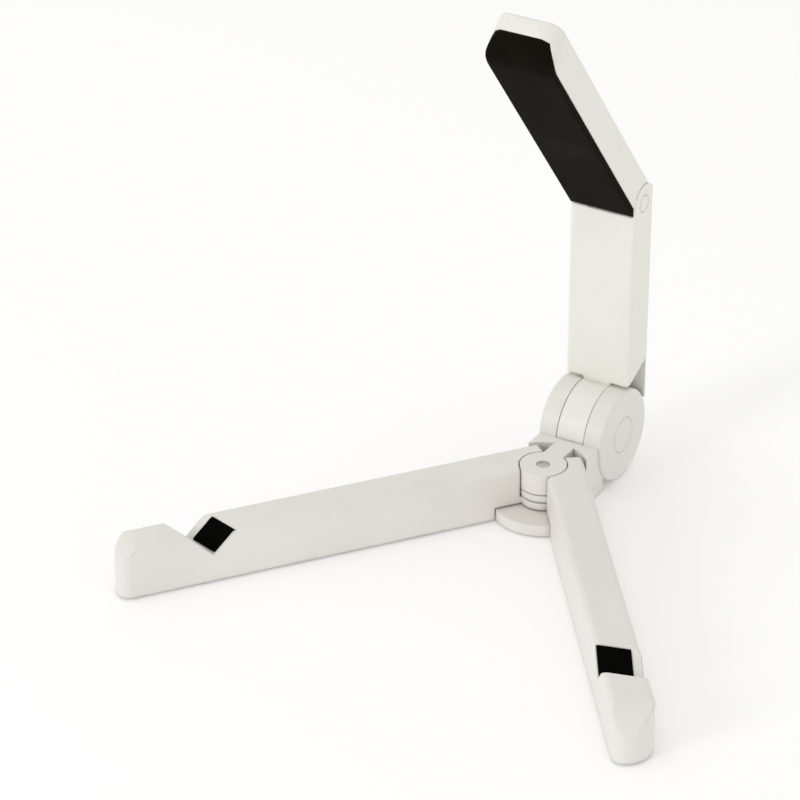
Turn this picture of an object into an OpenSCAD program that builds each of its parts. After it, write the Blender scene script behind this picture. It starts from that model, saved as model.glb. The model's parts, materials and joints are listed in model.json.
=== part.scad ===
// Folding tripod stand for a tablet: a hub, two legs that swing open on one upright
// pin, and a back arm in two lengths that tilts on the hub and bends at an elbow.
// Units are millimetres, +Z is up, -Y is the front, where the tablet stands.
// The origin is on the table, under the leg pivot, at the centre of the round foot.

/* [Legs] */
// Angle of the left leg from straight ahead, as drawn
left_open = 36.5; // [20:0.1:37.5]
// Angle of the right leg from straight ahead, as drawn
right_open = 37.3; // [20:0.1:37.5]
// Distance from the leg pivot to the tip of a leg
leg_length = 154; // [148:1:190]
// Width of a leg across its section
leg_width = 14.4; // [13.8:0.1:14.6]
// Height of a leg's top above the table
leg_top = 19.3; // [18.9:0.1:19.4]
// Radius of the nose at the top of a leg's tip
nose_radius = 9; // [6:0.5:11]
// Radius of the inner corner at a leg's tip, seen from above
tip_in_r = 4; // [2:0.5:4]
// Radius of the outer corner at a leg's tip, seen from above
tip_out_r = 9.5; // [5:0.5:9.5]

/* [Tablet notch] */
// Distance of the notch's bottom from the leg pivot, along the leg's middle
notch_s = 123.6; // [112:0.2:126]
// Angle of the notch from square across the leg
notch_turn = 20.7; // [0:0.1:24]
// Depth of the notch below the leg's top
notch_depth = 8.25; // [7:0.25:10]
// Horizontal run of the slope on the hub's side
notch_back_run = 7.5; // [5:0.1:9]
// Horizontal run of the slope on the tip's side
notch_front_run = 7.8; // [7:0.1:10]
// Width of the rubber grip across the leg
grip_w = 10.6; // [8:0.2:12]
// Thickness of the rubber grip on the hub's side slope
grip_t = 1.6; // [1.2:0.1:2]

/* [Hub] */
// Width of the hub and of the arm
body_width = 25; // [24:0.5:26]
// Distance of the arm's hinge axis behind the leg pivot
hinge_y = 35.5; // [35:0.5:40]
// Radius of the hub's two hinge ears
ear_radius = 16.8; // [16.4:0.1:16.9]
// Width of the arm's knuckle between the ears
knuckle_width = 10.6; // [9:0.2:11]
// Radius of the plate under the legs' roots
plate_radius = 17.6; // [16:0.2:18]
// Radius of the round knuckle on top of the leg pivot
pivot_knuckle_r = 8.2; // [7.6:0.1:8.2]

/* [Arm] */
// Height of the crease in the front of the arm above the hinge axis
crease_height = 84.1; // [70:0.1:100]
// Thickness of the arm from front to back
arm_t = 14.4; // [14:0.1:14.4]
// Angle by which the elbow is bent forward, as drawn
elbow_bend = 38.5; // [10:0.5:42]
// Length of the upper arm beyond the elbow's axis
upper_length = 109; // [108:0.5:125]
// Thickness of the pad on the upper arm
pad_t = 2; // [1.5:0.25:3]
// Angle by which the upper arm's back tapers towards its tip
back_taper = 0; // [0:0.1:1.5]
// Radius of the upper arm's two top corners, seen from the front
tip_corner_r = 8.5; // [6:0.5:12]
// Radius of the nose at the front of the upper arm's tip, seen from the side
tip_nose_r = 12; // [8:0.5:12.5]
// Radius of the edge at the back of the upper arm's tip, seen from the side
tip_back_r = 1.5; // [1:0.25:3]
// Margin between the pad's edge and the upper arm's edge
pad_inset = 0.2; // [0.1:0.1:1.5]

/* [Pins and fits] */
// Radius of the leg pivot pin
pivot_pin_r = 2.5; // [2:0.1:2.6]
// Radius of the arm's hinge bolt
bolt_r = 3; // [2.5:0.1:3.2]
// Radius of the elbow pin
elbow_pin_r = 2; // [1.6:0.1:2.2]
// Radial running clearance of a part that turns on a pin
run_gap = 0.06; // [0.02:0.01:0.09]
// Gap between neighbouring parts that move past each other
move_gap = 0.35; // [0.3:0.05:0.4]
// Seam between covers and the shells that hold them
seam = 0.1; // [0.05:0.05:0.15]

/* [Hidden] */
$fn = 96;

white = [0.90, 0.89, 0.86];
black = [0.07, 0.06, 0.05];
steel = [0.66, 0.67, 0.69];
far = 200;
eps = 0.01;

// Heights of the stacked pieces around the leg pivot
ground_gap = 0.8;
plate_top = 4.9;
washer_t = 0.4;
washer_play = 0.05;
eye_t = 2.6;
eye_step = eye_t + washer_t + 2 * washer_play;
left_eye_z = plate_top + washer_t + 2 * washer_play;
right_eye_z = left_eye_z + eye_step;
knuckle_z = right_eye_z + eye_step;
pin_foot_z = 1.7;

// Leg section and root
half_gap = 0.15;
leg_round = 2;
root_back = 3.5;
eye_r = pivot_knuckle_r - 0.2;
root_clear_r = pivot_knuckle_r + 0.4;
plate_clear_r = plate_radius + 0.4;
wall = 2;
cover_t = 1.6;
cover_start = 22;
cover_end = 103;
cover_inset = 1.3;
grip_margin = 0.5;
grip_proud = 0.5;
leg_boss_s = [31, 95];
foot_start = leg_length - 24;
foot_length = 15;
foot_inset = 3.4;
foot_recess = 0.7;

// Screws that hold every cover
screw_r = 1.1;
screw_head_r = 2.1;
screw_head_t = 1.1;
screw_length = 8;
boss_r = 2.9;

// Hub
half_w = body_width / 2;
hinge_z = ear_radius + 0.3;
slot_half = knuckle_width / 2 + 0.2;
knuckle_half = knuckle_width / 2;
web_half = 3.8;
neck_clear_r = 15.3;
neck_front_y = 8;
base_back_y = 22.8;
neck_step = 1;
hub_foot_r = half_w - 2.5;
hub_screw_x = 8.2;
hub_screw_y = 18.5;
cap_r = 6.5;
cap_t = 1.2;
head_t = 2.9;
head_r = 5;
nut_r = 5.6;
disc_r = 8;
disc_t = 0.8;
ear_round = 1;

// Arm, measured from the hinge axis: back along +Y and up along +Z
arm_back = ear_radius;
arm_front = arm_back - arm_t;
neck_z = 17.6;
neck_slope = 26;
elbow_r = arm_t / 2;
elbow_y = arm_front + elbow_r;
crease_run = elbow_r * tan(elbow_bend / 2);
elbow_z = crease_height + crease_run;
mitre = crease_run + 0.2;
arm_round = 1.6;
lower_cover_z = [27, 70];
upper_cover_l = [14, 98];
pad_stop = 4;
pad_seam = 0.02;
skirt_t = 1.8;
skirt_z = 8;
plug_r = 3;
plug_t = 1;
elbow_disc_t = 0.5;
elbow_disc_r = 5;

// A square with round corners, centred in X and starting at Y = 0
module round_slab(w, l, r) {
    translate([-w / 2 + r, 0])
        square([w - 2 * r, l]);
    translate([-w / 2, r])
        square([w, l - 2 * r]);
    for (x = [-w / 2 + r, w / 2 - r], y = [r, l - r])
        translate([x, y])
            circle(r);
}

// A bar along X between two stations
module x_rod(r, x0, x1) {
    translate([x0, 0, 0])
        rotate([0, 90, 0])
            cylinder(r = r, h = x1 - x0);
}

// The same bar with its two rims rounded
module round_rod(r, x0, x1, rim) {
    translate([x0, 0, 0])
        rotate([0, 90, 0])
            rotate_extrude() {
                square([r - rim, x1 - x0]);
                translate([0, rim])
                    square([r, x1 - x0 - 2 * rim]);
                for (z = [rim, x1 - x0 - rim])
                    translate([r - rim, z])
                        intersection() {
                            circle(rim);
                            translate([0, -rim])
                                square([rim, 2 * rim]);
                        }
            }
}

// A shape drawn in the YZ plane and pushed along X, centred
module side_cut(w) {
    translate([-w / 2, 0, 0])
        rotate([90, 0, 90])
            linear_extrude(w)
                children();
}

// A countersunk screw that points up, with the face of its head at the origin
module screw() {
    cylinder(r = screw_head_r, h = screw_head_t);
    cylinder(r = screw_r, h = screw_length);
}

// The hole that takes that screw in a cover and in the boss behind it
module screw_hole() {
    translate([0, 0, -1])
        cylinder(r = screw_head_r + seam, h = screw_head_t + 1);
    cylinder(r = screw_r + 0.02, h = screw_length + 0.3);
}

// ---------------------------------------------------------------- legs
// A leg is drawn closed: it lies along -Y and its inner face is just beside X = 0.

module at_right_leg() {
    rotate([0, 0, right_open])
        children();
}

module at_left_leg() {
    mirror([1, 0, 0])
        rotate([0, 0, left_open])
            children();
}

// Outline of the leg from above, with a small inner and a large outer corner at the tip
module leg_plan() {
    w = leg_width - half_gap;
    translate([half_gap, -leg_length + tip_out_r])
        square([w, leg_length + root_back - tip_out_r]);
    translate([half_gap, -leg_length + tip_in_r])
        square([w - tip_out_r, leg_length - tip_in_r]);
    translate([half_gap + tip_in_r, -leg_length])
        square([w - tip_in_r - tip_out_r, leg_length]);
    translate([half_gap + tip_in_r, -leg_length + tip_in_r])
        circle(tip_in_r);
    translate([leg_width - tip_out_r, -leg_length + tip_out_r])
        intersection() {
            circle(tip_out_r);
            translate([0, -tip_out_r])
                square(tip_out_r);
        }
}

// Outline of the leg from the side, with its round nose
module leg_side() {
    translate([-leg_length, ground_gap])
        square([leg_length + root_back, leg_top - ground_gap - nose_radius]);
    translate([-leg_length + nose_radius, ground_gap])
        square([leg_length + root_back - nose_radius, leg_top - ground_gap]);
    translate([-leg_length + nose_radius, leg_top - nose_radius])
        circle(nose_radius);
}

// Section of the leg, with round upper edges
module leg_section() {
    w = leg_width - half_gap;
    translate([half_gap, ground_gap])
        square([w, leg_top - ground_gap - leg_round]);
    translate([half_gap + leg_round, leg_top - 2 * leg_round])
        square([w - 2 * leg_round, 2 * leg_round]);
    for (x = [half_gap + leg_round, leg_width - leg_round])
        translate([x, leg_top - leg_round])
            circle(leg_round);
}

module leg_blank() {
    intersection() {
        linear_extrude(leg_top + 1)
            leg_plan();
        side_cut(far)
            leg_side();
        translate([0, root_back, 0])
            rotate([90, 0, 0])
                linear_extrude(leg_length + root_back)
                    leg_section();
    }
}

// Side view of the notch, measured from its bottom line
module notch_profile() {
    polygon([[0, 0],
             [notch_back_run * 1.3, notch_depth * 1.3],
             [-notch_front_run * 1.3, notch_depth * 1.3]]);
}

// The frame of the notch's bottom line, which runs askew across the leg
module in_notch_frame() {
    translate([leg_width / 2, -notch_s, leg_top - notch_depth])
        rotate([0, 0, -notch_turn])
            children();
}

// The rubber grip's block on the hub's side slope, grown by a given gap
module grip_block(gap = 0) {
    slope = atan(notch_depth / notch_back_run);
    length = norm([notch_depth, notch_back_run]);
    in_notch_frame()
        rotate([slope, 0, 0])
            translate([-far / 2, 0.8 - gap, -grip_t + grip_proud - gap])
                cube([far, length - 1.2 + 2 * gap, grip_t + 2 * gap]);
}

// The strip across the leg that the grip keeps to
module grip_band(gap = 0) {
    translate([half_gap + grip_margin - gap, -leg_length, 0])
        cube([grip_w + 2 * gap, leg_length, leg_top + 1]);
}

module leg_cover_plan(gap = 0) {
    translate([cover_inset + half_gap - gap, -cover_end - gap])
        square([leg_width - half_gap - 2 * cover_inset + 2 * gap,
                cover_end - cover_start + 2 * gap]);
}

module leg_foot_plan(gap = 0) {
    w = leg_width - 2 * foot_inset + 2 * gap;
    translate([leg_width / 2, -foot_start - foot_length - gap])
        round_slab(w, foot_length + 2 * gap, 2);
}

module leg_bosses() {
    for (s = leg_boss_s)
        translate([leg_width / 2, -s, ground_gap])
            children();
}

module leg_cavity() {
    inner_w = leg_width - half_gap - 2 * wall - 2;
    floor_z = ground_gap + cover_t;
    difference() {
        translate([half_gap + wall + 1, -cover_end + 2, 0])
            cube([inner_w, cover_end - cover_start - 4, leg_top - wall]);
        leg_bosses()
            translate([0, 0, cover_t])
                cylinder(r = boss_r, h = leg_top);
    }
    linear_extrude(floor_z)
        leg_cover_plan(seam);
}

module leg_shell(eye_z) {
    difference() {
        union() {
            difference() {
                leg_blank();
                cylinder(r = root_clear_r, h = far, center = true);
            }
            translate([0, 0, eye_z]) {
                cylinder(r = eye_r, h = eye_t);
                intersection() {
                    cylinder(r = root_clear_r + 1, h = eye_t);
                    translate([half_gap, -far / 2, 0])
                        cube([far, far / 2 + root_back, eye_t]);
                }
            }
        }
        cylinder(r = plate_clear_r, h = 2 * left_eye_z, center = true);
        cylinder(r = pivot_pin_r + run_gap, h = far, center = true);
        in_notch_frame()
            side_cut(far * 2)
                notch_profile();
        intersection() {
            grip_block(0.05);
            grip_band(0.05);
        }
        leg_cavity();
        linear_extrude(ground_gap + foot_recess)
            leg_foot_plan(0.05);
        leg_bosses()
            screw_hole();
    }
}

module leg_cover() {
    difference() {
        translate([0, 0, ground_gap])
            linear_extrude(cover_t)
                leg_cover_plan();
        leg_bosses()
            screw_hole();
    }
}

module leg_grip() {
    intersection() {
        grip_block();
        grip_band();
    }
}

module leg_foot() {
    linear_extrude(ground_gap + foot_recess)
        leg_foot_plan();
}

module leg_screws() {
    leg_bosses()
        screw();
}

module left_leg_shell() {
    color(white)
        at_left_leg()
            leg_shell(left_eye_z);
}

module left_leg_cover() {
    color(white)
        at_left_leg()
            leg_cover();
}

module left_leg_grip() {
    color(black)
        at_left_leg()
            leg_grip();
}

module left_leg_foot() {
    color(black)
        at_left_leg()
            leg_foot();
}

module left_leg_screws() {
    color(steel)
        at_left_leg()
            leg_screws();
}

module right_leg_shell() {
    color(white)
        at_right_leg()
            leg_shell(right_eye_z);
}

module right_leg_cover() {
    color(white)
        at_right_leg()
            leg_cover();
}

module right_leg_grip() {
    color(black)
        at_right_leg()
            leg_grip();
}

module right_leg_foot() {
    color(black)
        at_right_leg()
            leg_foot();
}

module right_leg_screws() {
    color(steel)
        at_right_leg()
            leg_screws();
}

// ---------------------------------------------------------------- hub

module at_hinge() {
    translate([0, hinge_y, hinge_z])
        children();
}

module each_side() {
    children();
    mirror([1, 0, 0])
        children();
}

module hub_neck() {
    difference() {
        translate([-half_w + neck_step, neck_front_y, plate_top + washer_play])
            cube([body_width - 2 * neck_step, hinge_y - neck_front_y,
                  leg_top - plate_top - washer_play]);
        cylinder(r = neck_clear_r, h = far, center = true);
    }
    translate([-web_half, 0, knuckle_z])
        cube([2 * web_half, neck_clear_r + 2, leg_top - knuckle_z]);
    translate([0, 0, knuckle_z])
        cylinder(r = pivot_knuckle_r, h = leg_top - knuckle_z);
}

module hub_screw_places() {
    for (x = [-hub_screw_x, hub_screw_x])
        translate([x, hub_screw_y, ground_gap])
            children();
}

module hub_body() {
    color(white)
        difference() {
            union() {
                hub_neck();
                at_hinge()
                    round_rod(ear_radius, -half_w, half_w, ear_round);
            }
            at_hinge() {
                x_rod(ear_radius + move_gap, -slot_half, slot_half);
                x_rod(bolt_r + 0.02, -half_w - 1, half_w + 1);
                each_side() {
                    x_rod(cap_r + seam, half_w - cap_t, half_w + 1);
                    x_rod(nut_r + 0.2, half_w - cap_t - head_t - 0.1, half_w);
                    x_rod(disc_r + seam, slot_half - 1, slot_half + disc_t);
                }
            }
            translate([0, 0, knuckle_z - 1])
                cylinder(r = pivot_pin_r + 0.02, h = far);
            hub_screw_places()
                screw_hole();
        }
}

module hub_base_plan() {
    w = body_width - 2 * neck_step;
    intersection() {
        circle(plate_radius);
        square([w, far], center = true);
    }
    translate([-w / 2, 0])
        square([w, base_back_y]);
}

module hub_base() {
    color(white)
        difference() {
            translate([0, 0, ground_gap])
                linear_extrude(plate_top - ground_gap)
                    hub_base_plan();
            at_hinge()
                x_rod(ear_radius + move_gap, -slot_half, slot_half);
            cylinder(r = hub_foot_r + 0.05, h = 2 * (ground_gap + foot_recess), center = true);
            translate([0, 0, pin_foot_z])
                cylinder(r = pivot_pin_r + 0.02, h = plate_top);
            hub_screw_places()
                screw_hole();
        }
}

module hub_foot() {
    color(black)
        cylinder(r = hub_foot_r, h = ground_gap + foot_recess);
}

module hub_screws() {
    color(steel)
        hub_screw_places()
            screw();
}

module leg_pivot_pin() {
    color(steel)
        translate([0, 0, pin_foot_z])
            cylinder(r = pivot_pin_r, h = leg_top - 0.5 - pin_foot_z);
}

module pivot_washers() {
    color(steel)
        for (z = [left_eye_z, right_eye_z, knuckle_z])
            translate([0, 0, z - washer_t - washer_play])
                difference() {
                    cylinder(r = 6, h = washer_t);
                    translate([0, 0, -1])
                        cylinder(r = pivot_pin_r + run_gap, h = washer_t + 2);
                }
}

module hinge_bolt() {
    inner = half_w - cap_t;
    color(steel)
        at_hinge() {
            x_rod(bolt_r, -inner + 0.1, inner - 0.1);
            x_rod(head_r, -inner + 0.1, -inner + head_t);
        }
}

module hinge_nut() {
    inner = half_w - cap_t;
    color(steel)
        at_hinge()
            difference() {
                translate([inner - head_t, 0, 0])
                    rotate([0, 90, 0])
                        cylinder(r = nut_r, h = head_t - 0.1, $fn = 6);
                x_rod(bolt_r + 0.02, 0, half_w);
            }
}

module hinge_caps() {
    color(white)
        at_hinge()
            each_side()
                x_rod(cap_r, half_w - cap_t, half_w);
}

module hinge_washers() {
    color(steel)
        at_hinge()
            each_side()
                difference() {
                    x_rod(disc_r, slot_half - 0.1, slot_half + disc_t);
                    x_rod(bolt_r + 0.02, 0, half_w);
                }
}

// ---------------------------------------------------------------- arm, lower length

module at_elbow() {
    at_hinge()
        translate([0, elbow_y, elbow_z])
            children();
}

// Side view of the lower length, measured from the hinge axis. Its bottom slopes up to the
// back, and a thin skirt at the back hangs down behind the ears.
module lower_side() {
    difference() {
        union() {
            difference() {
                translate([arm_front, 0])
                    square([arm_t, elbow_z - mitre]);
                translate([arm_front, neck_z])
                    rotate(neck_slope)
                        translate([-arm_t, -far])
                            square([far, far]);
            }
            translate([arm_back - skirt_t, skirt_z])
                square([skirt_t, 2 * neck_z]);
        }
        circle(ear_radius + move_gap);
    }
    translate([elbow_y, elbow_z - mitre - eps])
        square([elbow_r, mitre + eps]);
    translate([elbow_y, elbow_z])
        circle(elbow_r);
}

// Section of the lower length, with its four long edges rounded
module lower_section() {
    translate([0, arm_front, -eps])
        linear_extrude(far)
            round_slab(body_width, arm_t, arm_round);
}

// Side view of the narrow web that joins the knuckle to the lower length
module lower_web_side() {
    translate([arm_front, 0])
        square([arm_t - 1.5, neck_z + 14]);
}

module elbow_slot() {
    translate([0, elbow_y, elbow_z]) {
        x_rod(elbow_r + move_gap, -slot_half, slot_half);
        translate([-slot_half, -far / 2, -mitre])
            cube([2 * slot_half, far / 2, far]);
        translate([-slot_half, -eps, 0])
            cube([2 * slot_half, far / 2, far]);
    }
}

module at_lower_bosses() {
    for (z = [lower_cover_z[0] + 7, lower_cover_z[1] - 7])
        translate([0, arm_back, z])
            rotate([90, 0, 0])
                children();
}

module lower_cover_block(gap = 0) {
    w = body_width - 5 + 2 * gap;
    translate([-w / 2, arm_back - cover_t - gap, lower_cover_z[0] - gap])
        cube([w, cover_t + 2 * gap, lower_cover_z[1] - lower_cover_z[0] + 2 * gap]);
}

module arm_lower_shell() {
    color(white)
        at_hinge()
            difference() {
                union() {
                    intersection() {
                        side_cut(body_width)
                            lower_side();
                        lower_section();
                    }
                    side_cut(knuckle_width) {
                        lower_web_side();
                        circle(ear_radius - 0.1);
                    }
                }
                elbow_slot();
                x_rod(bolt_r + run_gap, -half_w, half_w);
                translate([0, elbow_y, elbow_z])
                    each_side() {
                        x_rod(elbow_pin_r + 0.02, 0, half_w);
                        x_rod(plug_r + seam, half_w - plug_t, half_w + 1);
                        x_rod(elbow_disc_r + seam, slot_half - 1, slot_half + elbow_disc_t);
                    }
                lower_cover_block(seam);
                difference() {
                    translate([-half_w + wall + 1.5, arm_front + wall, lower_cover_z[0] + 1.5])
                        cube([body_width - 2 * wall - 3, arm_t, lower_cover_z[1] - lower_cover_z[0] - 3]);
                    at_lower_bosses()
                        cylinder(r = boss_r, h = arm_t);
                }
                at_lower_bosses()
                    screw_hole();
            }
}

module arm_lower_cover() {
    color(white)
        at_hinge()
            difference() {
                lower_cover_block();
                at_lower_bosses()
                    screw_hole();
            }
}

module arm_lower_screws() {
    color(steel)
        at_hinge()
            at_lower_bosses()
                screw();
}

module elbow_pin() {
    color(steel)
        at_elbow()
            x_rod(elbow_pin_r, -half_w + plug_t + 0.1, half_w - plug_t - 0.1);
}

module elbow_plugs() {
    color(white)
        at_elbow()
            each_side()
                x_rod(plug_r, half_w - plug_t, half_w);
}

module elbow_washers() {
    color(steel)
        at_elbow()
            each_side()
                difference() {
                    x_rod(elbow_disc_r, slot_half - 0.1, slot_half + elbow_disc_t);
                    x_rod(elbow_pin_r + 0.02, 0, half_w);
                }
}

// ---------------------------------------------------------------- arm, upper length
// Drawn upright from the elbow's axis, then bent forward.

module at_upper() {
    at_elbow()
        rotate([elbow_bend, 0, 0])
            children();
}

// Outline of the upper length from the front
module upper_front(inset = 0) {
    r = tip_corner_r - inset;
    w = half_w - inset;
    translate([-w, -far])
        square([2 * w, far + upper_length - tip_corner_r]);
    translate([-w + r, 0])
        square([2 * (w - r), upper_length - inset]);
    for (x = [-w + r, w - r])
        translate([x, upper_length - tip_corner_r])
            circle(r);
}

module front_cut(inset = 0) {
    translate([0, far / 2, 0])
        rotate([90, 0, 0])
            linear_extrude(far)
                upper_front(inset);
}

// Side view of the upper length with its pad, with a tapered back and a round nose
module upper_side() {
    tip_y = elbow_r - upper_length * tan(back_taper);
    difference() {
        polygon([[-elbow_r, mitre], [elbow_r, 0], [tip_y, upper_length], [-elbow_r, upper_length]]);
        circle(elbow_r + move_gap);
        translate([-elbow_r + tip_nose_r, upper_length - tip_nose_r])
            difference() {
                translate([-far, 0])
                    square(far);
                circle(tip_nose_r);
            }
        translate([tip_y - tip_back_r, upper_length - tip_back_r])
            difference() {
                square(far);
                circle(tip_back_r);
            }
    }
}

// Side view of the layer that the pad fills, down the front and round the nose
module pad_layer(t) {
    translate([-2 * elbow_r, 0])
        square([elbow_r + t, upper_length - tip_nose_r]);
    translate([-elbow_r + tip_nose_r, upper_length - tip_nose_r])
        difference() {
            translate([-far, 0])
                square([far - pad_stop + t - pad_t, far]);
            circle(tip_nose_r - t);
        }
}

// Side view of the tongue that fills the fork of the lower length
module upper_web_side() {
    circle(elbow_r);
    square([elbow_r - 0.2, elbow_r + 3]);
    translate([-elbow_r + pad_t, mitre])
        square([elbow_r, elbow_r]);
}

module at_upper_back() {
    translate([0, elbow_r, 0])
        rotate([back_taper, 0, 0])
            children();
}

// Section of the upper length, with its two back edges rounded
module upper_section() {
    at_upper_back()
        translate([0, -2 * arm_t, -far])
            linear_extrude(2 * far)
                round_slab(body_width, 2 * arm_t, arm_round);
}

module at_upper_bosses() {
    at_upper_back()
        for (l = [upper_cover_l[0] + 7, upper_cover_l[1] - 9])
            translate([0, 0, l])
                rotate([90, 0, 0])
                    children();
}

module upper_cover_block(gap = 0) {
    w = body_width - 5 + 2 * gap;
    l = upper_cover_l[1] - upper_cover_l[0] + 2 * gap;
    at_upper_back()
        translate([0, gap, upper_cover_l[0] - gap])
            rotate([90, 0, 0])
                linear_extrude(cover_t + 2 * gap)
                    round_slab(w, l, 5);
}

module arm_upper_shell() {
    color(white)
        at_upper()
            difference() {
                union() {
                    intersection() {
                        side_cut(body_width)
                            difference() {
                                upper_side();
                                pad_layer(pad_t);
                            }
                        front_cut();
                        upper_section();
                    }
                    side_cut(knuckle_width)
                        upper_web_side();
                }
                x_rod(elbow_pin_r + run_gap, -half_w, half_w);
                upper_cover_block(seam);
                difference() {
                    translate([-half_w + wall + 1.5, -elbow_r + pad_t + wall, upper_cover_l[0] + 1.5])
                        cube([body_width - 2 * wall - 3, arm_t, upper_cover_l[1] - upper_cover_l[0] - 8]);
                    at_upper_bosses()
                        cylinder(r = boss_r, h = arm_t);
                }
                at_upper_bosses()
                    screw_hole();
            }
}

module arm_upper_cover() {
    color(white)
        at_upper()
            difference() {
                upper_cover_block();
                at_upper_bosses()
                    screw_hole();
            }
}

module arm_upper_screws() {
    color(steel)
        at_upper()
            at_upper_bosses()
                screw();
}

module arm_pad() {
    color(black)
        at_upper()
            intersection() {
                side_cut(body_width)
                    intersection() {
                        upper_side();
                        pad_layer(pad_t - pad_seam);
                    }
                front_cut(pad_inset);
            }
}

hub_body();
hub_base();
hub_foot();
hub_screws();
leg_pivot_pin();
pivot_washers();
hinge_bolt();
hinge_nut();
hinge_caps();
hinge_washers();
left_leg_shell();
left_leg_cover();
left_leg_grip();
left_leg_foot();
left_leg_screws();
right_leg_shell();
right_leg_cover();
right_leg_grip();
right_leg_foot();
right_leg_screws();
arm_lower_shell();
arm_lower_cover();
arm_lower_screws();
elbow_pin();
elbow_plugs();
elbow_washers();
arm_upper_shell();
arm_upper_cover();
arm_upper_screws();
arm_pad();
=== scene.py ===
import bpy
import bmesh
import json
import math
from mathutils import Matrix, Vector


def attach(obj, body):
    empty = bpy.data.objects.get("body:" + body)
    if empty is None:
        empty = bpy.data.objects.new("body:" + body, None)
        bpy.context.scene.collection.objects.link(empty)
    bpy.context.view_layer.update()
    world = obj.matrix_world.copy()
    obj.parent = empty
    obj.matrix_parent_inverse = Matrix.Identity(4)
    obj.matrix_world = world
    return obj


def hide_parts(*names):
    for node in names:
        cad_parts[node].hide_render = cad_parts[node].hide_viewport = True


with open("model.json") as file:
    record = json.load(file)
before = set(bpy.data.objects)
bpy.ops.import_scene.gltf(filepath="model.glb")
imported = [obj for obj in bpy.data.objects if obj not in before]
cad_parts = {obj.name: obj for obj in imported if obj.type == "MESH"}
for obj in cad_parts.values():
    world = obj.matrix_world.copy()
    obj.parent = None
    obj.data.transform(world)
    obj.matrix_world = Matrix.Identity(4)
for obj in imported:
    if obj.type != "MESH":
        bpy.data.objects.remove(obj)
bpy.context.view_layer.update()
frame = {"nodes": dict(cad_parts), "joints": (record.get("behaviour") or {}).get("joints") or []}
NODES = frame["nodes"]

MM = 0.001


# ------------------------------------------------------------------ materials

class Nodes:
    """A short way to build a node material."""

    def __init__(self, name):
        self.material = bpy.data.materials.new(name)
        self.material.use_nodes = True
        self.tree = self.material.node_tree
        self.tree.nodes.clear()
        self.output = self.tree.nodes.new("ShaderNodeOutputMaterial")
        self.shader = self.tree.nodes.new("ShaderNodeBsdfPrincipled")
        self.link(self.shader.outputs[0], self.output.inputs[0])
        self.coords = self.tree.nodes.new("ShaderNodeTexCoord").outputs["Object"]

    def link(self, a, b):
        self.tree.links.new(a, b)

    def noise(self, scale, detail=3.0, roughness=0.55, stretch=None):
        source = self.coords
        if stretch:
            mapping = self.tree.nodes.new("ShaderNodeMapping")
            mapping.inputs["Scale"].default_value = stretch
            self.link(source, mapping.inputs[0])
            source = mapping.outputs[0]
        node = self.tree.nodes.new("ShaderNodeTexNoise")
        node.inputs["Scale"].default_value = scale
        node.inputs["Detail"].default_value = detail
        node.inputs["Roughness"].default_value = roughness
        self.link(source, node.inputs["Vector"])
        return node.outputs["Fac"]

    def cells(self, scale):
        node = self.tree.nodes.new("ShaderNodeTexVoronoi")
        node.feature = "F1"
        node.inputs["Scale"].default_value = scale
        self.link(self.coords, node.inputs["Vector"])
        return node.outputs["Distance"]

    def ramp(self, value, stops):
        node = self.tree.nodes.new("ShaderNodeValToRGB")
        elements = node.color_ramp.elements
        while len(elements) < len(stops):
            elements.new(0.5)
        for element, (place, colour) in zip(elements, stops):
            element.position = place
            element.color = (*colour, 1.0)
        self.link(value, node.inputs[0])
        return node.outputs[0]

    def spread(self, value, low, high, start=0.0, end=1.0):
        node = self.tree.nodes.new("ShaderNodeMapRange")
        node.inputs["From Min"].default_value = start
        node.inputs["From Max"].default_value = end
        node.inputs["To Min"].default_value = low
        node.inputs["To Max"].default_value = high
        self.link(value, node.inputs["Value"])
        return node.outputs[0]

    def maths(self, operation, a, b):
        node = self.tree.nodes.new("ShaderNodeMath")
        node.operation = operation
        for socket, value in zip(node.inputs, (a, b)):
            if isinstance(value, (int, float)):
                socket.default_value = value
            else:
                self.link(value, socket)
        return node.outputs[0]

    def mix(self, factor, a, b):
        node = self.tree.nodes.new("ShaderNodeMix")
        node.data_type = "RGBA"
        self.link(factor, node.inputs["Factor"])
        for socket, value in ((node.inputs["A"], a), (node.inputs["B"], b)):
            if isinstance(value, tuple):
                socket.default_value = (*value, 1.0)
            else:
                self.link(value, socket)
        return node.outputs["Result"]

    def bump(self, height, strength, distance, normal=None):
        node = self.tree.nodes.new("ShaderNodeBump")
        node.inputs["Strength"].default_value = strength
        node.inputs["Distance"].default_value = distance
        self.link(height, node.inputs["Height"])
        if normal:
            self.link(normal, node.inputs["Normal"])
        return node.outputs[0]

    def soft_edges(self, radius):
        node = self.tree.nodes.new("ShaderNodeBevel")
        node.samples = 6
        node.inputs["Radius"].default_value = radius
        return node.outputs[0]

    def edge_mask(self, radius):
        """1 on edges that stick out or turn in, 0 on flat ground."""
        true_normal = self.tree.nodes.new("ShaderNodeNewGeometry").outputs["Normal"]
        dot = self.tree.nodes.new("ShaderNodeVectorMath")
        dot.operation = "DOT_PRODUCT"
        self.link(self.soft_edges(radius), dot.inputs[0])
        self.link(true_normal, dot.inputs[1])
        return self.spread(dot.outputs["Value"], 1.0, 0.0, 0.86, 0.995)

    # Ambient-occlusion mask, used to paint shade into creases and where parts meet.
    def crease_shade_mask(self, distance):
        node = self.tree.nodes.new("ShaderNodeAmbientOcclusion")
        node.samples = 8
        node.inputs["Distance"].default_value = distance
        return node.outputs["AO"]


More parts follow.
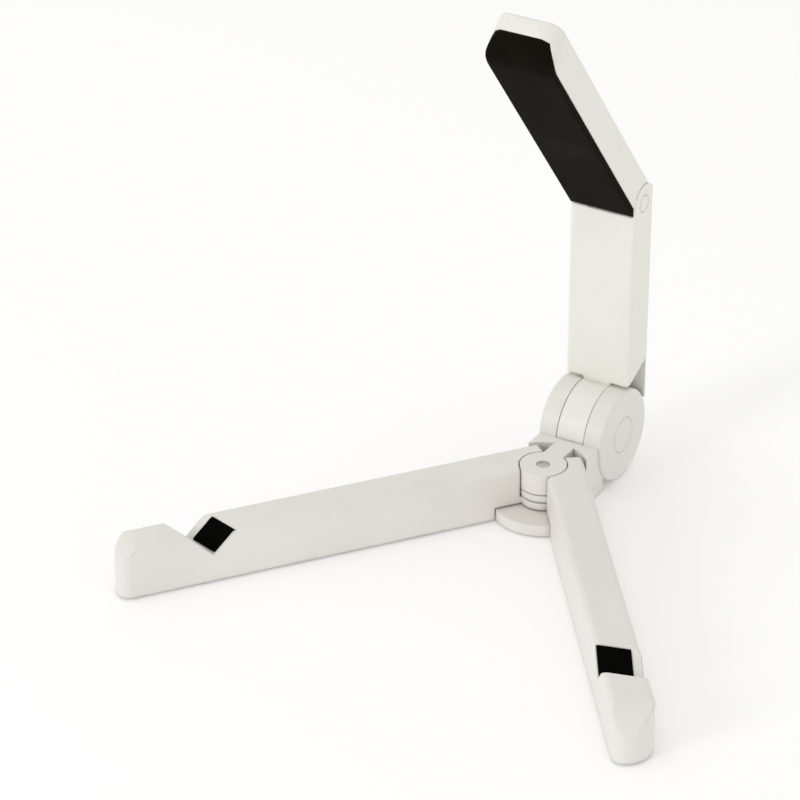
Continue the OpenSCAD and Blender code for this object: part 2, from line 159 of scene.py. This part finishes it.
def moulded_plastic(name, tone, warm, rough=(0.34, 0.46), edge=0.0006):
    """Satin injection-moulded plastic: fine spark texture, slow sink marks, polished edges and
    painted shade that darkens it in creases and where parts meet. The shading rounds edges off to the
    radius edge, in metres."""
    m = Nodes(name)
    clouds = m.noise(28.0, 4.0)
    base = m.ramp(clouds, [(0.3, tone), (0.7, warm)])
    worn = m.edge_mask(edge * 1.6)
    scuffs = m.spread(m.noise(310.0, 5.0, 0.7), 0.0, 1.0, 0.56, 0.7)
    edge_wear = m.maths("MULTIPLY", worn, m.spread(m.noise(140.0, 4.0), 0.15, 0.8, 0.35, 0.7))
    polished = m.mix(edge_wear, base, tuple(c * 1.06 for c in tone))
    # Painted shade: where the ambient-occlusion mask finds creases and parts meeting, the colour is
    # darkened towards a dim tone, broken up into patches by noise.
    crease_shade_fac = m.maths("MULTIPLY", m.spread(m.crease_shade_mask(0.0035), 1.0, 0.0, 0.15, 0.85),
                        m.spread(m.noise(90.0, 3.0), 0.25, 0.75, 0.35, 0.7))
    crease_shade_colour = tuple(c * 0.62 for c in warm)
    m.link(m.mix(crease_shade_fac, polished, crease_shade_colour), m.shader.inputs["Base Color"])
    roughness = m.spread(m.noise(46.0, 5.0, 0.6), rough[0], rough[1], 0.3, 0.7)
    roughness = m.maths("ADD", roughness, m.maths("MULTIPLY", scuffs, 0.07))
    roughness = m.maths("SUBTRACT", roughness, m.maths("MULTIPLY", edge_wear, 0.1))
    m.link(roughness, m.shader.inputs["Roughness"])
    m.shader.inputs["IOR"].default_value = 1.49
    m.shader.inputs["Subsurface Weight"].default_value = 0.08
    m.shader.inputs["Subsurface Radius"].default_value = (1.0, 0.85, 0.7)
    m.shader.inputs["Subsurface Scale"].default_value = 0.0012
    grain = m.noise(5200.0, 2.0, 0.6)
    sink = m.noise(60.0, 2.0, 0.5)
    normal = m.soft_edges(edge)
    normal = m.bump(sink, 0.10, 0.00035, normal)
    normal = m.bump(grain, 0.22, 0.00002, normal)
    m.link(normal, m.shader.inputs["Normal"])
    return m.material


def rubber(name, dark, light, grain_scale, grain_depth, rough, gloss, edge=0.0003):
    """Matte moulded rubber with a pebbled skin, dusty in patches and rubbed on its edges."""
    m = Nodes(name)
    pebbles = m.cells(grain_scale)
    dust = m.spread(m.noise(70.0, 5.0, 0.65), 0.0, 1.0, 0.45, 0.75)
    base = m.mix(m.maths("MULTIPLY", dust, 0.35), dark, light)
    rubbed = m.maths("MULTIPLY", m.edge_mask(edge * 1.5), 0.55)
    m.link(m.mix(rubbed, base, tuple(c * 1.9 for c in light)), m.shader.inputs["Base Color"])
    roughness = m.spread(m.noise(38.0, 4.0), rough[0], rough[1], 0.3, 0.7)
    roughness = m.maths("SUBTRACT", roughness, m.maths("MULTIPLY", rubbed, 0.12))
    m.link(roughness, m.shader.inputs["Roughness"])
    m.shader.inputs["IOR"].default_value = 1.5
    m.shader.inputs["Specular IOR Level"].default_value = gloss
    normal = m.soft_edges(edge)
    normal = m.bump(m.spread(pebbles, 1.0, 0.0, 0.0, 0.6), 0.8, grain_depth, normal)
    normal = m.bump(m.noise(grain_scale * 2.3, 3.0), 0.35, grain_depth * 0.5, normal)
    m.link(normal, m.shader.inputs["Normal"])
    return m.material


def turned_steel(name, stretch, rough=(0.2, 0.38)):
    """Turned or drawn steel: fine parallel tool marks, slow tarnish and brighter edges."""
    m = Nodes(name)
    tarnish = m.noise(120.0, 4.0)
    base = m.ramp(tarnish, [(0.3, (0.42, 0.42, 0.43)), (0.65, (0.62, 0.62, 0.63))])
    bright = m.edge_mask(0.0003)
    m.link(m.mix(bright, base, (0.78, 0.78, 0.79)), m.shader.inputs["Base Color"])
    m.shader.inputs["Metallic"].default_value = 1.0
    marks = m.noise(900.0, 3.0, 0.6, stretch)
    m.link(m.spread(marks, rough[0], rough[1], 0.3, 0.7), m.shader.inputs["Roughness"])
    normal = m.bump(marks, 0.35, 0.00003, m.soft_edges(0.0002))
    m.link(normal, m.shader.inputs["Normal"])
    return m.material


PLASTIC_TONE = (0.81, 0.79, 0.75)
PLASTIC_WARM = (0.77, 0.745, 0.70)
plastic_legs = moulded_plastic("leg_plastic", PLASTIC_TONE, PLASTIC_WARM, edge=0.0013)
plastic_hub = moulded_plastic("hub_plastic", PLASTIC_TONE, PLASTIC_WARM, (0.32, 0.44), 0.0005)
plastic_arm = moulded_plastic("arm_plastic", (0.85, 0.84, 0.79), (0.81, 0.80, 0.74),
                              (0.34, 0.48), 0.0009)
plastic_cover = moulded_plastic("cover_plastic", (0.82, 0.80, 0.755), (0.78, 0.755, 0.70),
                                (0.4, 0.54), 0.0003)
pad_rubber = rubber("pad_rubber", (0.0055, 0.0034, 0.0018), (0.012, 0.008, 0.005),
                    1100.0, 0.00006, (0.7, 0.85), 0.06)
grip_rubber = rubber("grip_rubber", (0.001, 0.001, 0.0008), (0.004, 0.0038, 0.0034),
                     1800.0, 0.00004, (0.7, 0.85), 0.03)
foot_rubber = rubber("foot_rubber", (0.010, 0.010, 0.010), (0.04, 0.038, 0.035),
                     1500.0, 0.00006, (0.65, 0.82), 0.15)
steel_along_x = turned_steel("steel_along_x", (0.02, 1.0, 1.0))
steel_along_z = turned_steel("steel_along_z", (1.0, 1.0, 0.02))

NODE_MATERIALS = {
    "hub_body": plastic_hub,
    "hub_base": plastic_hub,
    "hinge_caps": plastic_hub,
    "left_leg_shell": plastic_legs,
    "right_leg_shell": plastic_legs,
    "left_leg_cover": plastic_cover,
    "right_leg_cover": plastic_cover,
    "arm_lower_shell": plastic_arm,
    "arm_upper_shell": plastic_arm,
    "arm_lower_cover": plastic_cover,
    "arm_upper_cover": plastic_cover,
    "elbow_plugs": plastic_arm,
    "hub_screws": steel_along_z,
    "left_leg_screws": steel_along_z,
    "right_leg_screws": steel_along_z,
    "arm_lower_screws": steel_along_z,
    "arm_upper_screws": steel_along_z,
    "leg_pivot_pin": steel_along_z,
    "pivot_washers": steel_along_z,
    "hinge_bolt": steel_along_x,
    "hinge_nut": steel_along_x,
    "hinge_washers": steel_along_x,
    "elbow_pin": steel_along_x,
    "elbow_washers": steel_along_x,
    "arm_pad": pad_rubber,
    "left_leg_grip": grip_rubber,
    "right_leg_grip": grip_rubber,
    "left_leg_foot": foot_rubber,
    "right_leg_foot": foot_rubber,
    "hub_foot": foot_rubber,
}


def dress(thing, material):
    mesh = thing.data
    if not mesh.materials:
        mesh.materials.append(material)
    for place in range(len(mesh.materials)):
        mesh.materials[place] = material


for node_name, node_material in NODE_MATERIALS.items():
    dress(NODES[node_name], node_material)


# ------------------------------------------------------------------ rubber pieces

# Measures are in millimetres. A leg's own frame has the pivot at its origin, the leg along -Y and
# its inner face near x = 0.
LEG_WIDTH = 14.4
LEG_LENGTH = 154.0
LEG_OPEN = {1: math.radians(37.3), -1: math.radians(36.5)}
NOTCH_PLACE = (7.2, -123.6, 11.05)
NOTCH_TURN = math.radians(20.7)
NOTCH_SLOPE = math.atan2(8.25, 7.5)
GRIP_X = (0.66, 11.24)
GRIP_SLOPE = (0.82, 10.73)
GRIP_Z = (-1.08, 0.49)
GRIP_CORNER_R = 0.7
FOOT_DEPTH = 1.49
LEG_FOOT_MARGIN = 3.4
LEG_FOOT_START = LEG_LENGTH - 24.0
LEG_FOOT_LENGTH = 15.0
LEG_FOOT_CORNER_R = 2.0
HUB_FOOT_R = 9.99
HUB_FOOT_SIDES = 72
WELD_DISTANCE = 1e-7


def new_piece(name, points, faces, material, body, slot_name, node, sharp=35.0):
    """A piece from points in millimetres and faces, which stands for a CAD node."""
    mesh = bpy.data.meshes.new(name)
    mesh.from_pydata([point * MM for point in points], [], faces)
    form = bmesh.new()
    form.from_mesh(mesh)
    bmesh.ops.remove_doubles(form, verts=form.verts, dist=WELD_DISTANCE)
    bmesh.ops.recalc_face_normals(form, faces=form.faces)
    form.to_mesh(mesh)
    form.free()
    mesh.polygons.foreach_set("use_smooth", [True] * len(mesh.polygons))
    mesh.set_sharp_from_angle(angle=math.radians(sharp))
    piece = bpy.data.objects.new(name, mesh)
    bpy.context.scene.collection.objects.link(piece)
    dress(piece, material)
    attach(piece, body)
    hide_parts(node)
    return piece


def rounded_outline(x0, x1, y0, y1, radius, steps=7):
    """A rectangle with round corners, as points that run round it once."""
    corners = ((x1, y1, 0.0), (x0, y1, 90.0), (x0, y0, 180.0), (x1, y0, 270.0))
    outline = []
    for x, y, start in corners:
        cx = x - radius if x == x1 else x + radius
        cy = y - radius if y == y1 else y + radius
        for step in range(steps + 1):
            turn = math.radians(start + 90.0 * step / steps)
            outline.append((cx + radius * math.cos(turn), cy + radius * math.sin(turn)))
    return outline


def drawn_in(outline, margin):
    """The outline moved inwards, each point along the direction square to its neighbours."""
    count = len(outline)
    moved = []
    for i, (x, y) in enumerate(outline):
        ax, ay = outline[i - 1]
        bx, by = outline[(i + 1) % count]
        length = math.hypot(bx - ax, by - ay)
        moved.append((x - margin * (by - ay) / length, y + margin * (bx - ax) / length))
    return moved


RIM_STEPS = 5
GROOVE_SPANS = (0.94, 0.92, 0.86, 0.84, 0.7, 0.5, 0.3, 0.12)
PLAIN_SPANS = (0.94, 0.86, 0.75, 0.6, 0.45, 0.3, 0.12)
SUNK_SPANS = (0.92, 0.86)


def plate_rings(outline, depth, edge, groove, dish):
    """Rings of (points, height) from the hidden face, round the rim and in over the outer face."""
    mid_x = sum(x for x, _ in outline) / len(outline)
    mid_y = sum(y for _, y in outline) / len(outline)
    rings = [(outline, 0.0), (outline, depth - edge)]
    for step in range(1, RIM_STEPS + 1):
        turn = math.radians(90.0 * step / RIM_STEPS)
        rings.append((drawn_in(outline, edge * (1.0 - math.cos(turn))),
                      depth - edge * (1.0 - math.sin(turn))))
    inner = rings[-1][0]
    for span in GROOVE_SPANS if groove else PLAIN_SPANS:
        sunk = groove if span in SUNK_SPANS else 0.0
        dished = dish * (1.0 - span * span)
        ring = [(mid_x + (x - mid_x) * span, mid_y + (y - mid_y) * span) for x, y in inner]
        rings.append((ring, depth - sunk - dished))
    return rings


def ring_faces(count, levels, start=0):
    """Quads between neighbouring rings of points."""
    faces = []
    for level in range(levels - 1):
        a, b = start + level * count, start + (level + 1) * count
        for i in range(count):
            j = (i + 1) % count
            faces.append((a + i, a + j, b + j, b + i))
    return faces


def plate(name, outline, depth, edge, groove, dish, place, **rest):
    """A moulded rubber plate: flat hidden face, round rim and a slightly dished outer face, with
    a fine groove round it if groove is its depth."""
    rings = plate_rings(outline, depth, edge, groove, dish)
    count = len(outline)
    points = [place(x, y, height) for ring, height in rings for x, y in ring]
    last = (len(rings) - 1) * count
    faces = [tuple(range(count))] + ring_faces(count, len(rings))
    faces.append(tuple(range(last + count - 1, last - 1, -1)))
    return new_piece(name, points, faces, **rest)


def leg_place(side):
    """Leg measures to the row's frame; side is +1 for the right leg and -1 for the left."""
    turn = LEG_OPEN[side]

    def place(x, y, z):
        return Vector((side * (x * math.cos(turn) - y * math.sin(turn)),
                       x * math.sin(turn) + y * math.cos(turn), z))
    return place


def grip_place(side):
    """Grip measures (leg's x, way up the slope, height over the slope) to the row's frame."""
    on_leg = leg_place(side)

    def place(x, up, height):
        height += GRIP_Z[0]
        run = up * math.cos(NOTCH_SLOPE) - height * math.sin(NOTCH_SLOPE)
        z = up * math.sin(NOTCH_SLOPE) + height * math.cos(NOTCH_SLOPE)
        along = (x - NOTCH_PLACE[0] - run * math.sin(NOTCH_TURN)) / math.cos(NOTCH_TURN)
        y = -along * math.sin(NOTCH_TURN) + run * math.cos(NOTCH_TURN)
        return on_leg(x, NOTCH_PLACE[1] + y, NOTCH_PLACE[2] + z)
    return place


def foot_place(side):
    on_leg = leg_place(side)

    def place(x, y, height):
        return on_leg(x, y, FOOT_DEPTH - height)
    return place


def make_grips_and_feet():
    grip_outline = rounded_outline(*GRIP_X, *GRIP_SLOPE, GRIP_CORNER_R)
    foot_outline = rounded_outline(LEG_FOOT_MARGIN, LEG_WIDTH - LEG_FOOT_MARGIN,
                                   -LEG_FOOT_START - LEG_FOOT_LENGTH, -LEG_FOOT_START,
                                   LEG_FOOT_CORNER_R)
    for side, leg in ((1, "right_leg"), (-1, "left_leg")):
        plate(leg + "_grip_rubber", grip_outline, GRIP_Z[1] - GRIP_Z[0], 0.35, 0.0, 0.12,
              grip_place(side), material=grip_rubber, body=leg, slot_name="black_rubber",
              node=leg + "_grip")
        plate(leg + "_foot_rubber", foot_outline, FOOT_DEPTH, 0.4, 0.25, 0.1,
              foot_place(side), material=foot_rubber, body=leg, slot_name="black_rubber",
              node=leg + "_foot")
    hub_outline = [(HUB_FOOT_R * math.cos(turn), HUB_FOOT_R * math.sin(turn))
                   for turn in (math.tau * i / HUB_FOOT_SIDES for i in range(HUB_FOOT_SIDES))]
    plate("hub_foot_rubber", hub_outline, FOOT_DEPTH, 0.4, 0.3, 0.15,
          lambda x, y, height: Vector((x, y, FOOT_DEPTH - height)),
          material=foot_rubber, body="hub", slot_name="black_rubber", node="hub_foot")


# The pad on the upper arm, in the arm's own measures: depth from its front face, way up from the
# elbow's axis, and across.
ELBOW = Vector(next(j for j in frame["joints"] if j["name"] == "elbow_bend")["pos_m"]) / MM
ELBOW_BEND = math.radians(38.5)
ARM_HALF_DEPTH = 7.2
PAD_DEPTH = 1.97
PAD_HALF_WIDTH = 12.28
PAD_BOTTOM = 2.74
NOSE_START = 97.0
NOSE_R = 11.98
PAD_CORNER_R = 8.28
PAD_CORNER_Z = 100.5
PAD_EDGE = 0.45
PAD_STOP = 4.03
PAD_NOSE_END = math.acos(PAD_STOP / NOSE_R)
ELBOW_CLEARANCE = 7.58
PAD_COLUMNS = 12
PAD_FLAT_ROWS = 30
PAD_NOSE_ROWS = 20
PAD_END_SHEAR = 8.0


def upper_arm_place(x, back, up):
    return Vector((x, ELBOW.y + back * math.cos(ELBOW_BEND) - up * math.sin(ELBOW_BEND),
                   ELBOW.z + back * math.sin(ELBOW_BEND) + up * math.cos(ELBOW_BEND)))


def pad_bottom_at(depth):
    """The pad's lower end follows the round of the elbow."""
    back = ARM_HALF_DEPTH - depth
    return max(PAD_BOTTOM, math.sqrt(max(0.0, ELBOW_CLEARANCE ** 2 - back ** 2)))


def pad_half_width(up):
    if up <= PAD_CORNER_Z:
        return PAD_HALF_WIDTH
    flat = PAD_HALF_WIDTH - PAD_CORNER_R
    return flat + math.sqrt(max(0.0, PAD_CORNER_R ** 2 - (up - PAD_CORNER_Z) ** 2))


def pad_point(way, depth):
    """(back, up) of a point at a way along the pad's front face and a depth under it."""
    if way <= NOSE_START:
        lift = (pad_bottom_at(depth) - PAD_BOTTOM) * max(0.0, 1.0 - (way - PAD_BOTTOM) / PAD_END_SHEAR)
        return -ARM_HALF_DEPTH + depth, way + lift
    radius = NOSE_R - depth
    turn = (way - NOSE_START) / NOSE_R * math.acos(PAD_STOP / radius) / PAD_NOSE_END
    return NOSE_R - ARM_HALF_DEPTH - radius * math.cos(turn), NOSE_START + radius * math.sin(turn)


def edge_drop(distance):
    """How far a round edge falls at a distance from the pad's rim."""
    if distance >= PAD_EDGE:
        return 0.0
    return PAD_EDGE - math.sqrt(PAD_EDGE ** 2 - (PAD_EDGE - distance) ** 2)


def pad_ways():
    """Places along the pad's front face, close together at its two ends and on the nose."""
    way_end = NOSE_START + NOSE_R * PAD_NOSE_END
    flat_start = PAD_BOTTOM + PAD_EDGE
    flat = NOSE_START - flat_start
    nose = way_end - PAD_EDGE - NOSE_START
    ways = [PAD_BOTTOM + t for t in (0.0, 0.05, 0.15, 0.3, PAD_EDGE)]
    ways += [flat_start + flat * i / PAD_FLAT_ROWS for i in range(1, PAD_FLAT_ROWS + 1)]
    ways += [NOSE_START + nose * i / PAD_NOSE_ROWS for i in range(1, PAD_NOSE_ROWS + 1)]
    ways += [way_end - t for t in (0.3, 0.15, 0.05, 0.0)]
    return ways


def pad_row():
    """The points of one row across the pad, as (kind, across from -1 to 1, depth)."""
    rim = [(math.cos(turn), PAD_EDGE * (1.0 - math.sin(turn)))
           for turn in (math.radians(15 * i) for i in range(1, 6))]
    row = [("side", -1.0, PAD_DEPTH), ("side", -1.0, PAD_EDGE)]
    row += [("rim", -reach, depth) for reach, depth in rim]
    row += [("flat", -1.0 + 2.0 * i / PAD_COLUMNS, 0.0) for i in range(PAD_COLUMNS + 1)]
    row += [("rim", reach, depth) for reach, depth in reversed(rim)]
    row += [("side", 1.0, PAD_EDGE), ("side", 1.0, PAD_DEPTH)]
    return row


def make_pad():
    ways = pad_ways()
    row = pad_row()
    points = []
    for way in ways:
        drop = edge_drop(min(way - ways[0], ways[-1] - way))
        for kind, across, depth in row:
            if depth < PAD_DEPTH:
                depth = max(depth, drop)
            back, up = pad_point(way, depth)
            half = pad_half_width(up)
            if kind == "side":
                x = across * half
            elif kind == "rim":
                x = math.copysign(half - PAD_EDGE * (1.0 - abs(across)), across)
            else:
                x = across * (half - PAD_EDGE)
            points.append(upper_arm_place(x, back, up))
    count = len(row)
    last = (len(ways) - 1) * count
    faces = [tuple(range(count - 1, -1, -1))] + ring_faces(count, len(ways))
    faces.append(tuple(range(last, last + count)))
    new_piece("arm_pad_rubber", points, faces, pad_rubber, "upper_arm", "pad_rubber", "arm_pad", 45.0)


# ------------------------------------------------------------------ screws

SCREW_HEAD_R = 2.07
SCREW_SHANK_R = 1.08
SCREW_HEAD_DEPTH = 1.1
SCREW_LENGTH = 7.95
RECESS_HALF_WIDTH = 0.3
RECESS_REACH = 1.15
RECESS_DEPTH = 0.75
SCREW_SIDES = 48
HEAD_FACE_BAND = 2e-5


def cross_radius(turn):
    """How far a cross recess reaches from its middle at an angle."""
    c, s = abs(math.cos(turn)), abs(math.sin(turn))
    along_x = min(RECESS_REACH / max(c, 1e-6), RECESS_HALF_WIDTH / max(s, 1e-6))
    along_y = min(RECESS_HALF_WIDTH / max(c, 1e-6), RECESS_REACH / max(s, 1e-6))
    return max(along_x, along_y)


def screw_turns():
    """Angles round the screw, with the corners of the recess among them."""
    corner = math.atan2(RECESS_HALF_WIDTH, RECESS_REACH)
    turns = {round(math.tau * i / SCREW_SIDES, 6) for i in range(SCREW_SIDES)}
    for quarter in range(4):
        start = quarter * math.pi / 2
        turns |= {round((start + t) % math.tau, 6) for t in (corner, math.pi / 2 - corner, math.pi / 4)}
    return sorted(turns)


def head_centres(node, outwards):
    """The middles of a screw node's two heads, from the corners that lie furthest out."""
    corners = [v.co.copy() for v in NODES[node].data.vertices]
    top = max(c.dot(outwards) for c in corners)
    face = [c for c in corners if top - c.dot(outwards) < HEAD_FACE_BAND]
    nearest = min(face, key=lambda c: (c - corners[0]).length)
    far = max(face, key=lambda c: (c - nearest).length)
    near = max(face, key=lambda c: (c - far).length)
    groups = ([c for c in face if (c - near).length < (c - far).length],
              [c for c in face if (c - near).length >= (c - far).length])
    centres = []
    for group in groups:
        low = Vector([min(c[i] for c in group) for i in range(3)])
        high = Vector([max(c[i] for c in group) for i in range(3)])
        centres.append((low + high) / 2 / MM)
    return centres


def make_screws(node, body, outwards, turned):
    """Countersunk screws with a cross recess, each turned by its own angle."""
    outwards = outwards.normalized()
    across = outwards.orthogonal().normalized()
    over = outwards.cross(across)
    turns = screw_turns()
    count = len(turns)
    profile = [(SCREW_SHANK_R * 0.6, SCREW_LENGTH), (SCREW_SHANK_R, SCREW_LENGTH - 0.5),
               (SCREW_SHANK_R, SCREW_HEAD_DEPTH), (SCREW_HEAD_R, 0.25), (SCREW_HEAD_R, 0.1),
               (SCREW_HEAD_R - 0.1, 0.01)]
    points, faces = [], []
    for centre, spin in zip(head_centres(node, outwards), turned):
        rings = [[(radius, depth)] * count for radius, depth in profile]
        rings.append([(cross_radius(t) + 0.06, 0.01) for t in turns])
        rings.append([(cross_radius(t), 0.08) for t in turns])
        rings.append([(cross_radius(t) * 0.8, RECESS_DEPTH) for t in turns])
        start = len(points)
        for ring in rings:
            for turn, (radius, depth) in zip(turns, ring):
                angle = turn + spin
                points.append(centre + (across * math.cos(angle) + over * math.sin(angle)) * radius
                              - outwards * depth)
        faces.append(tuple(start + i for i in range(count)))
        faces += ring_faces(count, len(rings), start)
        last = start + (len(rings) - 1) * count
        faces.append(tuple(last + i for i in range(count - 1, -1, -1)))
    new_piece(node + "_cross", points, faces, NODE_MATERIALS[node], body, "steel", node, 30.0)


BACK = Vector((0.0, 1.0, 0.0))
DOWN = Vector((0.0, 0.0, -1.0))
UPPER_BACK = Vector((0.0, math.cos(ELBOW_BEND), math.sin(ELBOW_BEND)))


make_grips_and_feet()
make_pad()
make_screws("hub_screws", "hub", DOWN, (0.3, 1.1))
make_screws("left_leg_screws", "left_leg", DOWN, (0.9, 0.2))
make_screws("right_leg_screws", "right_leg", DOWN, (0.5, 1.3))
make_screws("arm_lower_screws", "lower_arm", BACK, (0.7, 0.1))
make_screws("arm_upper_screws", "upper_arm", UPPER_BACK, (1.2, 0.4))


# ------------------------------------------------------------------ floor, light and camera

FLOOR_HALF_SIZE = 6.0


def make_floor():
    """A pale floor that glows a little, as a light table does, so that shadows on it stay soft."""
    mesh = bpy.data.meshes.new("floor")
    form = bmesh.new()
    bmesh.ops.create_grid(form, x_segments=2, y_segments=2, size=FLOOR_HALF_SIZE)
    form.to_mesh(mesh)
    form.free()
    floor = bpy.data.objects.new("floor", mesh)
    bpy.context.scene.collection.objects.link(floor)
    m = Nodes("studio_floor")
    m.shader.inputs["Base Color"].default_value = (0.9, 0.9, 0.9, 1.0)
    m.shader.inputs["Emission Color"].default_value = (1.0, 1.0, 1.0, 1.0)
    m.shader.inputs["Emission Strength"].default_value = 0.15
    m.shader.inputs["Roughness"].default_value = 0.9
    m.shader.inputs["Specular IOR Level"].default_value = 0.1
    dress(floor, m.material)


def area_light(name, place, target, size, power):
    lamp = bpy.data.lights.new(name, "AREA")
    lamp.shape = "DISK"
    lamp.size = size
    lamp.energy = power
    thing = bpy.data.objects.new(name, lamp)
    thing.location = place
    direction = Vector(target) - Vector(place)
    thing.rotation_euler = direction.to_track_quat("-Z", "Y").to_euler()
    bpy.context.scene.collection.objects.link(thing)


def make_light():
    world = bpy.data.worlds.new("studio")
    world.use_nodes = True
    background = world.node_tree.nodes["Background"]
    background.inputs["Color"].default_value = (1.0, 0.995, 0.985, 1.0)
    background.inputs["Strength"].default_value = 0.84
    bpy.context.scene.world = world
    area_light("key", (-0.55, -1.45, 0.65), (0.0, 0.0, 0.06), 0.5, 4.2)
    area_light("top", (-0.5, -0.2, 1.6), (0.0, 0.0, 0.0), 0.5, 1.2)
    bpy.context.scene.view_settings.view_transform = "Standard"


# Where the camera stands, in degrees and metres, from the table under the arm's hinge.
CAMERA_AZIMUTH = math.radians(31.12)
CAMERA_ELEVATION = math.radians(29.518)
CAMERA_DISTANCE = 1.26962
CAMERA_RIGHT = -0.067886
CAMERA_UP = 0.023963
CAMERA_AIM_Y = 0.0355
FOCAL_IN_WIDTHS = 4.460008
SENSOR_WIDTH = 36.0


def make_camera():
    sin_a, cos_a = math.sin(CAMERA_AZIMUTH), math.cos(CAMERA_AZIMUTH)
    sin_e, cos_e = math.sin(CAMERA_ELEVATION), math.cos(CAMERA_ELEVATION)
    back = Vector((sin_a * cos_e, -cos_a * cos_e, sin_e))
    right = Vector((cos_a, sin_a, 0.0))
    up = back.cross(right)
    data = bpy.data.cameras.new("photo_camera")
    data.sensor_width = SENSOR_WIDTH
    data.lens = FOCAL_IN_WIDTHS * data.sensor_width
    camera = bpy.data.objects.new("photo_camera", data)
    turn = Matrix((right, up, back)).transposed().to_4x4()
    place = (back * CAMERA_DISTANCE + right * CAMERA_RIGHT + up * CAMERA_UP
             + Vector((0.0, CAMERA_AIM_Y, 0.0)))
    camera.matrix_world = Matrix.Translation(place) @ turn
    bpy.context.scene.collection.objects.link(camera)
    bpy.context.scene.camera = camera


make_floor()
make_light()
make_camera()
